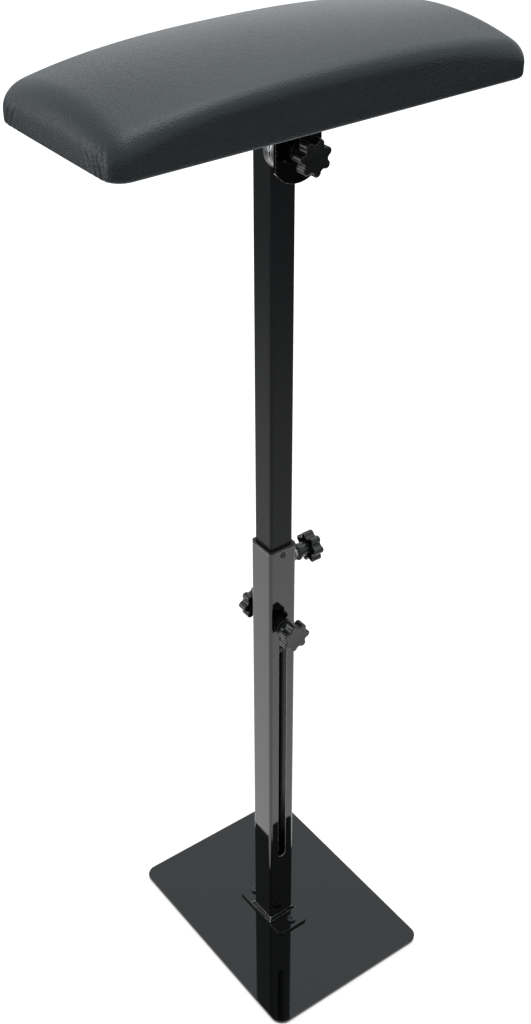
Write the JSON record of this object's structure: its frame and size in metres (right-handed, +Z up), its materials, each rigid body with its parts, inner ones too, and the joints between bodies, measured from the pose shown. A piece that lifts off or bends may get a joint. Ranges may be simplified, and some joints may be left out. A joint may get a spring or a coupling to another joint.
{
  "type": "tattoo arm rest stand",
  "caption": "Free-standing padded arm rest on a telescoping square column with clamping star knobs, a toothed tilt joint and a flat base plate.",
  "frame": {"origin": "on the floor under the column's axis, which is the middle of the footprint", "axes": "+Z up the column, +X along the pad's length towards the clamp knob, -Y towards the front slot knob and the tilt knob"},
  "size_m": [0.386, 0.258, 0.9793],
  "materials": {
    "gloss_black_paint": "gloss black powder coat",
    "satin_black_paint": "semi-gloss black powder coat",
    "black_oxide_steel": "black oxide",
    "zinc_plated_steel": "bright zinc plate",
    "black_plastic": "moulded, fine texture",
    "knob_plastic": "moulded, satin",
    "rubber": "moulded",
    "plywood": "raw",
    "foam": "open-cell foam",
    "artificial_leather": "soft grained artificial leather"
  },
  "bodies": {
    "stand": {"base_plate": "gloss_black_paint", "rubber_feet": "rubber", "foot_flange": "gloss_black_paint", "foot_welds": "gloss_black_paint", "flange_screws": "black_oxide_steel", "outer_tube": "gloss_black_paint", "tube_collar": "black_plastic", "clamp_nut": "gloss_black_paint"},
    "mast": {"inner_tube": "satin_black_paint", "mast_glide": "black_plastic", "mast_end_cap": "black_plastic", "threaded_cross_block": "zinc_plated_steel", "fixed_toothed_disc": "satin_black_paint", "tilt_bolt": "zinc_plated_steel"},
    "tilt_head": {"moving_toothed_disc": "satin_black_paint", "tilt_bracket": "gloss_black_paint", "pad_board": "plywood", "pad_screws": "zinc_plated_steel", "pad_foam": "foam", "pad_cover": "artificial_leather", "cover_staples": "zinc_plated_steel"},
    "front_washer_body": {"front_washer": "black_plastic"},
    "front_knob_body": {"front_knob": "knob_plastic", "front_stud": "zinc_plated_steel"},
    "rear_washer_body": {"rear_washer": "black_plastic"},
    "rear_knob_body": {"rear_knob": "knob_plastic", "rear_stud": "zinc_plated_steel"},
    "clamp_washer_body": {"clamp_washer": "black_plastic"},
    "clamp_knob_body": {"clamp_knob": "knob_plastic", "clamp_stud": "zinc_plated_steel"},
    "tilt_washer_body": {"tilt_washer": "black_plastic"},
    "tilt_knob_body": {"tilt_knob": "knob_plastic", "tilt_knob_insert": "zinc_plated_steel"}
  },
  "joints": [
    {"name": "mast_slide", "type": "slide", "parent": "stand", "child": "mast", "axis": [0, 0, 1], "range_m": [-0.313, 0.005]},
    {"name": "head_tilt", "type": "hinge", "parent": "mast", "child": "tilt_head", "pos_m": [0, -0.02, 0.895], "axis": [0, 1, 0], "range_deg": [-72, 72]},
    {"name": "front_travel", "type": "slide", "parent": "mast", "child": "front_washer_body", "axis": [0, -1, 0], "range_m": [0, 0.0045]},
    {"name": "front_spin", "type": "hinge", "parent": "front_washer_body", "child": "front_knob_body", "pos_m": [0, -0.03, 0.4185], "axis": [0, -1, 0], "range_deg": [0, 1080]},
    {"name": "rear_travel", "type": "slide", "parent": "mast", "child": "rear_washer_body", "axis": [0, 1, 0], "range_m": [0, 0.0045]},
    {"name": "rear_spin", "type": "hinge", "parent": "rear_washer_body", "child": "rear_knob_body", "pos_m": [0, 0.03, 0.4185], "axis": [0, 1, 0], "range_deg": [0, 1080]},
    {"name": "clamp_travel", "type": "slide", "parent": "stand", "child": "clamp_washer_body", "axis": [1, 0, 0], "range_m": [0, 0.0045]},
    {"name": "clamp_spin", "type": "hinge", "parent": "clamp_washer_body", "child": "clamp_knob_body", "pos_m": [0.03, 0, 0.4865], "axis": [1, 0, 0], "range_deg": [0, 1080]},
    {"name": "tilt_travel", "type": "slide", "parent": "mast", "child": "tilt_washer_body", "axis": [0, -1, 0], "range_m": [0, 0.0045]},
    {"name": "tilt_spin", "type": "hinge", "parent": "tilt_washer_body", "child": "tilt_knob_body", "pos_m": [0, -0.04, 0.895], "axis": [0, -1, 0], "range_deg": [0, 1080]}
  ],
  "couplings": [
    {"joint": "front_travel", "follows": "front_spin", "m_per_rad": 0.00019894},
    {"joint": "rear_travel", "follows": "rear_spin", "m_per_rad": 0.00019894},
    {"joint": "clamp_travel", "follows": "clamp_spin", "m_per_rad": 0.00019894},
    {"joint": "tilt_travel", "follows": "tilt_spin", "m_per_rad": 0.00019894}
  ]
}
